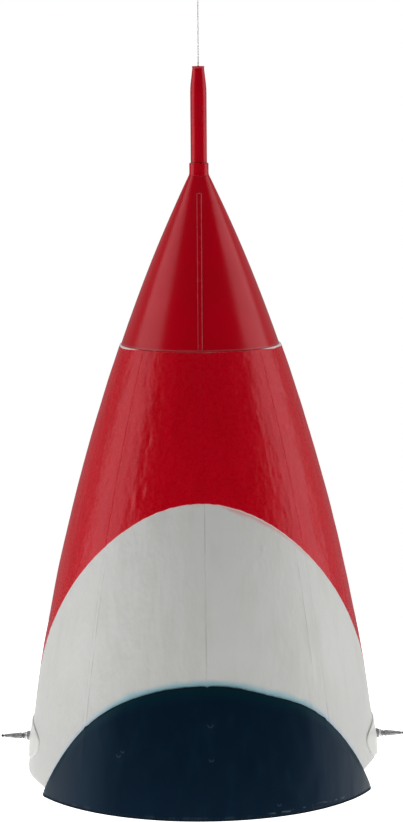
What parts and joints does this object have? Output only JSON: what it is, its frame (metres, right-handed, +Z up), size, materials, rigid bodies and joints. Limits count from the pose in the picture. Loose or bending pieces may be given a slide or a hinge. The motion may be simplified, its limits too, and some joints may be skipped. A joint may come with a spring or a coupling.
{
  "type": "model rocket",
  "caption": "Conical model rocket with a thin nose probe, arched skirts and side spikes, hanging from a short wire loop; the hull pulls off the nose and the motor slides out.",
  "frame": {"origin": "bearing point inside the top of the wire's hanging loop", "axes": "+Z up along the rocket's axis and the wire, -Y towards the front, +X to the right spike"},
  "size_m": [0.249, 0.219, 0.5009],
  "materials": {
    "twisted_wire": "satin",
    "ferrule_metal": "satin",
    "probe_paint": "satin",
    "nose_paint": "satin",
    "hull_paint": "satin",
    "white_paint": "satin",
    "navy_paint": "satin",
    "spike_metal": "polished",
    "balsa": "matte",
    "plywood": "matte",
    "card_tube": "matte",
    "weight_metal": "matte",
    "motor_paper": "matte",
    "clay": "matte"
  },
  "bodies": {
    "wire": {"suspension_wire": "twisted_wire", "hanging_loop": "twisted_wire", "loop_ferrule": "ferrule_metal", "wire_stop": "ferrule_metal"},
    "nose": {"probe_tube": "probe_paint", "tip_plug": "nose_paint", "probe_collar": "nose_paint", "tip_block": "balsa", "nose_cone": "nose_paint", "nose_strip": "nose_paint", "nose_base_ring": "plywood", "nose_shoulder": "card_tube", "nose_bulkhead": "plywood", "nose_weight": "weight_metal"},
    "hull": {"hull_gore_1": "hull_paint", "hull_gore_2": "hull_paint", "hull_gore_3": "hull_paint", "hull_gore_4": "hull_paint", "hull_gore_5": "hull_paint", "hull_gore_6": "hull_paint", "hull_gore_7": "hull_paint", "hull_gore_8": "hull_paint", "stringer_1": "balsa", "stringer_2": "balsa", "stringer_3": "balsa", "stringer_4": "balsa", "stringer_5": "balsa", "stringer_6": "balsa", "stringer_7": "balsa", "stringer_8": "balsa", "neck_ring": "plywood", "former_upper": "plywood", "former_middle": "plywood", "former_lower": "plywood", "base_plate": "plywood", "motor_tube": "card_tube", "thrust_ring": "card_tube", "front_skirt": "navy_paint", "back_skirt": "navy_paint", "left_fairing": "white_paint", "left_spike_block": "balsa", "left_spike_flange": "spike_metal", "right_fairing": "white_paint", "right_spike_block": "balsa", "right_spike_flange": "spike_metal"},
    "motor": {"motor_case": "motor_paper", "motor_nozzle": "clay"},
    "left_spike": {"left_spike": "spike_metal"},
    "right_spike": {"right_spike": "spike_metal"}
  },
  "joints": [
    {"name": "wire_swivel", "type": "hinge", "parent": "wire", "child": "nose", "pos_m": [0, 0, -0.0749], "axis": [0, 0, 1], "continuous": true},
    {"name": "hull_release", "type": "slide", "parent": "nose", "child": "hull", "axis": [0, 0, -1], "range_m": [0, 0.045]},
    {"name": "motor_slide", "type": "slide", "parent": "hull", "child": "motor", "axis": [0, 0, -1], "range_m": [0, 0.08]},
    {"name": "left_spike_pull", "type": "slide", "parent": "hull", "child": "left_spike", "axis": [-1, 0, 0], "range_m": [0, 0.018]},
    {"name": "right_spike_pull", "type": "slide", "parent": "hull", "child": "right_spike", "axis": [1, 0, 0], "range_m": [0, 0.018]}
  ]
}
